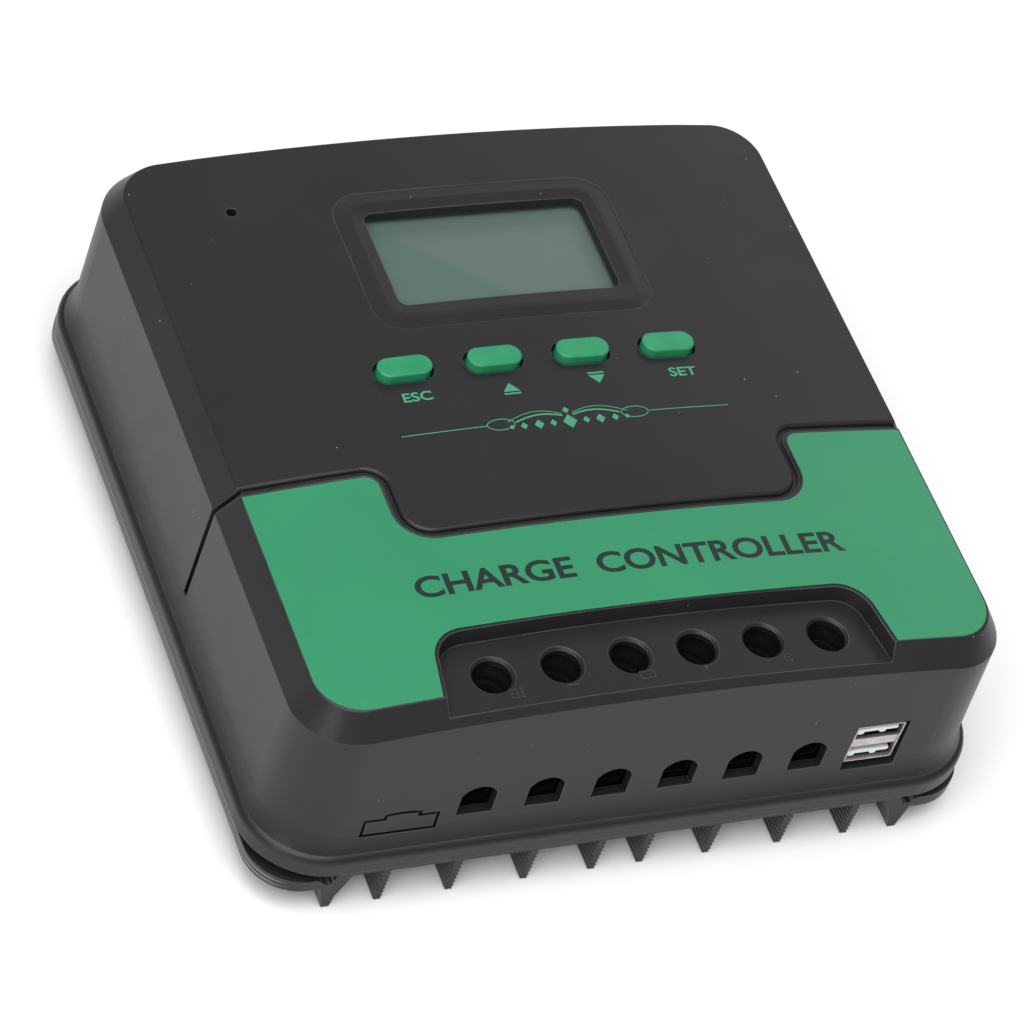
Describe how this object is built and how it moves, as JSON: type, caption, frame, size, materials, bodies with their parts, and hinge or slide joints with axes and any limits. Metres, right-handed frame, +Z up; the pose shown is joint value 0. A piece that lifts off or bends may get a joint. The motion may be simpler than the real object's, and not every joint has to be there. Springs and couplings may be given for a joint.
{
  "type": "charge controller",
  "caption": "Solar charge controller: arched moulded cover over a finned heat sink, display with four buttons, six screw terminals and a double USB socket.",
  "frame": {"origin": "on the plane of the fin tips, below the middle of the whole part", "axes": "+Z up, from the fin tips to the display; -Y towards the terminal side; +X to the right when the display is read"},
  "size_m": [0.194, 0.193, 0.0719],
  "materials": {
    "cover_black": "fine satin texture",
    "anodised_black": "black anodised, extruded",
    "label_green": "printed film, satin",
    "button_green": "moulded, semi-gloss",
    "window_clear": "clear acrylic",
    "lcd_grey": "reflective grey-green display",
    "diffuser_white": "diffuser",
    "inner_black": "moulded",
    "led_clear": "clear lens",
    "board_green": "solder mask",
    "ribbon_grey": "flat cable",
    "terminal_black": "glass-filled",
    "plated_steel": "zinc plated",
    "screw_steel": "zinc plated",
    "brass": "plain",
    "device_black": "moulding compound",
    "pad_grey": "silicone",
    "core_yellow": "coated powder core",
    "copper": "enamelled wire",
    "can_aluminium": "sleeved can",
    "fuse_tint": "tinted",
    "usb_steel": "nickel plated",
    "usb_white": "moulded"
  },
  "bodies": {
    "root": {"blade_fuses": "fuse_tint", "board_screws": "screw_steel", "board_standoffs": "brass", "buzzer": "inner_black", "clamp_bar": "screw_steel", "clamp_screws": "screw_steel", "control_ics": "inner_black", "cover_screws": "screw_steel", "current_shunt": "brass", "display_board": "board_green", "display_ribbon": "ribbon_grey", "display_screws": "screw_steel", "display_window": "window_clear", "filter_capacitors": "can_aluminium", "front_label": "label_green", "fuse_holders": "inner_black", "heat_sink": "anodised_black", "inductor_core": "core_yellow", "inductor_winding": "copper", "lcd_backlight": "diffuser_white", "lcd_frame": "inner_black", "lcd_panel": "lcd_grey", "main_board": "board_green", "mosfets": "device_black", "output_capacitors": "can_aluminium", "ribbon_headers": "inner_black", "status_led": "led_clear", "switch_housings": "inner_black", "terminal_busbars": "brass", "terminal_housing": "terminal_black", "thermal_pads": "pad_grey", "top_cover": "cover_black", "usb_contacts": "brass", "usb_insulator": "inner_black", "usb_shell": "usb_steel", "usb_tongues": "usb_white"},
    "button_esc": {"button_cap_esc": "button_green", "switch_stem_esc": "inner_black"},
    "button_up": {"button_cap_up": "button_green", "switch_stem_up": "inner_black"},
    "button_down": {"button_cap_down": "button_green", "switch_stem_down": "inner_black"},
    "button_set": {"button_cap_set": "button_green", "switch_stem_set": "inner_black"},
    "screw_1": {"terminal_screw_1": "plated_steel"},
    "cage_1": {"terminal_cage_1": "plated_steel"},
    "screw_2": {"terminal_screw_2": "plated_steel"},
    "cage_2": {"terminal_cage_2": "plated_steel"},
    "screw_3": {"terminal_screw_3": "plated_steel"},
    "cage_3": {"terminal_cage_3": "plated_steel"},
    "screw_4": {"terminal_screw_4": "plated_steel"},
    "cage_4": {"terminal_cage_4": "plated_steel"},
    "screw_5": {"terminal_screw_5": "plated_steel"},
    "cage_5": {"terminal_cage_5": "plated_steel"},
    "screw_6": {"terminal_screw_6": "plated_steel"},
    "cage_6": {"terminal_cage_6": "plated_steel"}
  },
  "joints": [
    {"name": "press_esc", "type": "slide", "parent": "root", "child": "button_esc", "axis": [0, 0, -1], "range_m": [0, 0.0005], "stiffness_N_per_m": 1500, "springref_m": -0.0005},
    {"name": "press_up", "type": "slide", "parent": "root", "child": "button_up", "axis": [0, 0, -1], "range_m": [0, 0.0005], "stiffness_N_per_m": 1500, "springref_m": -0.0005},
    {"name": "press_down", "type": "slide", "parent": "root", "child": "button_down", "axis": [0, 0, -1], "range_m": [0, 0.0005], "stiffness_N_per_m": 1500, "springref_m": -0.0005},
    {"name": "press_set", "type": "slide", "parent": "root", "child": "button_set", "axis": [0, 0, -1], "range_m": [0, 0.0005], "stiffness_N_per_m": 1500, "springref_m": -0.0005},
    {"name": "turn_screw_1", "type": "hinge", "parent": "root", "child": "screw_1", "pos_m": [-0.0442, -0.0804, 0.045], "axis": [0, 0, -1], "range_deg": [0, 2521]},
    {"name": "raise_cage_1", "type": "slide", "parent": "root", "child": "cage_1", "axis": [0, 0, 1], "range_m": [0, 0.0056]},
    {"name": "turn_screw_2", "type": "hinge", "parent": "root", "child": "screw_2", "pos_m": [-0.0267, -0.0804, 0.045], "axis": [0, 0, -1], "range_deg": [0, 2521]},
    {"name": "raise_cage_2", "type": "slide", "parent": "root", "child": "cage_2", "axis": [0, 0, 1], "range_m": [0, 0.0056]},
    {"name": "turn_screw_3", "type": "hinge", "parent": "root", "child": "screw_3", "pos_m": [-0.0092, -0.0804, 0.045], "axis": [0, 0, -1], "range_deg": [0, 2521]},
    {"name": "raise_cage_3", "type": "slide", "parent": "root", "child": "cage_3", "axis": [0, 0, 1], "range_m": [0, 0.0056]},
    {"name": "turn_screw_4", "type": "hinge", "parent": "root", "child": "screw_4", "pos_m": [0.0083, -0.0804, 0.045], "axis": [0, 0, -1], "range_deg": [0, 2521]},
    {"name": "raise_cage_4", "type": "slide", "parent": "root", "child": "cage_4", "axis": [0, 0, 1], "range_m": [0, 0.0056]},
    {"name": "turn_screw_5", "type": "hinge", "parent": "root", "child": "screw_5", "pos_m": [0.0258, -0.0804, 0.045], "axis": [0, 0, -1], "range_deg": [0, 2521]},
    {"name": "raise_cage_5", "type": "slide", "parent": "root", "child": "cage_5", "axis": [0, 0, 1], "range_m": [0, 0.0056]},
    {"name": "turn_screw_6", "type": "hinge", "parent": "root", "child": "screw_6", "pos_m": [0.0433, -0.0804, 0.045], "axis": [0, 0, -1], "range_deg": [0, 2521]},
    {"name": "raise_cage_6", "type": "slide", "parent": "root", "child": "cage_6", "axis": [0, 0, 1], "range_m": [0, 0.0056]}
  ],
  "couplings": [
    {"joint": "turn_screw_1", "follows": "raise_cage_1", "rad_per_m": 7854},
    {"joint": "turn_screw_2", "follows": "raise_cage_2", "rad_per_m": 7854},
    {"joint": "turn_screw_3", "follows": "raise_cage_3", "rad_per_m": 7854},
    {"joint": "turn_screw_4", "follows": "raise_cage_4", "rad_per_m": 7854},
    {"joint": "turn_screw_5", "follows": "raise_cage_5", "rad_per_m": 7854},
    {"joint": "turn_screw_6", "follows": "raise_cage_6", "rad_per_m": 7854}
  ]
}
